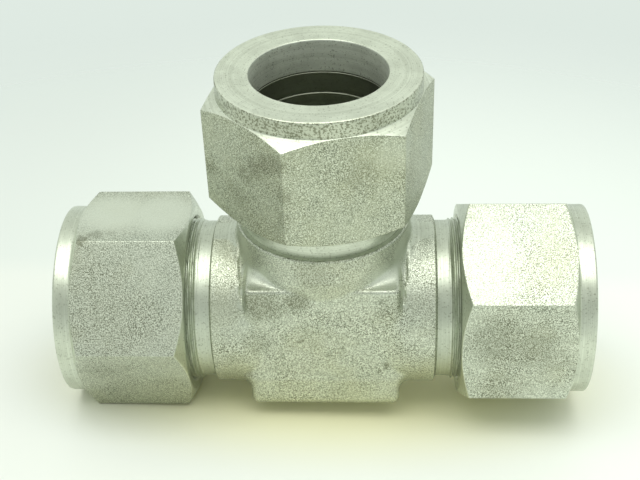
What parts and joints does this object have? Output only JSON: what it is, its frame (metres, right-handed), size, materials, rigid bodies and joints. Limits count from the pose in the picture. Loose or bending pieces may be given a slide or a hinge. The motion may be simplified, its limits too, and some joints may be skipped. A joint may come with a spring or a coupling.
{
  "type": "tube tee fitting",
  "caption": "Twin-ferrule compression tee for steel tube: a forged body with three threaded ends, each closed by a hex nut over a back and a front ferrule.",
  "frame": {"origin": "under the crossing of the run and branch centre lines, level with the lowest nut corner", "axes": "+X along the run towards the right nut, +Y to the back, +Z along the branch, upwards"},
  "size_m": [0.156, 0.0654, 0.1109],
  "materials": {
    "forged_steel": "forged and shot-blasted stainless steel, machined bright at the ends",
    "nut_steel": "hex stainless bar with a grained skin, turned bright at the collar",
    "ferrule_steel": "turned stainless steel"
  },
  "bodies": {
    "body": {"tee_body": "forged_steel"},
    "left_ferrules": {"left_back_ferrule": "ferrule_steel", "left_front_ferrule": "ferrule_steel"},
    "right_ferrules": {"right_back_ferrule": "ferrule_steel", "right_front_ferrule": "ferrule_steel"},
    "branch_ferrules": {"branch_back_ferrule": "ferrule_steel", "branch_front_ferrule": "ferrule_steel"},
    "left_nut": {"left_nut": "nut_steel"},
    "right_nut": {"right_nut": "nut_steel"},
    "branch_nut": {"branch_nut": "nut_steel"}
  },
  "joints": [
    {"name": "left_nut_travel", "type": "slide", "parent": "body", "child": "left_ferrules", "axis": [-1, 0, 0], "range_m": [0, 0.0153]},
    {"name": "left_nut_turn", "type": "hinge", "parent": "left_ferrules", "child": "left_nut", "pos_m": [0, 0, 0.03291], "axis": [-1, 0, 0], "range_deg": [0, 4320]},
    {"name": "right_nut_travel", "type": "slide", "parent": "body", "child": "right_ferrules", "axis": [1, 0, 0], "range_m": [0, 0.0153]},
    {"name": "right_nut_turn", "type": "hinge", "parent": "right_ferrules", "child": "right_nut", "pos_m": [0, 0, 0.03291], "axis": [1, 0, 0], "range_deg": [0, 4320]},
    {"name": "branch_nut_travel", "type": "slide", "parent": "body", "child": "branch_ferrules", "axis": [0, 0, 1], "range_m": [0, 0.0153]},
    {"name": "branch_nut_turn", "type": "hinge", "parent": "branch_ferrules", "child": "branch_nut", "pos_m": [0, 0, 0.03291], "axis": [0, 0, 1], "range_deg": [0, 4320]}
  ],
  "couplings": [
    {"joint": "left_nut_travel", "follows": "left_nut_turn", "m_per_rad": 0.00020213},
    {"joint": "right_nut_travel", "follows": "right_nut_turn", "m_per_rad": 0.00020213},
    {"joint": "branch_nut_travel", "follows": "branch_nut_turn", "m_per_rad": 0.00020213}
  ]
}
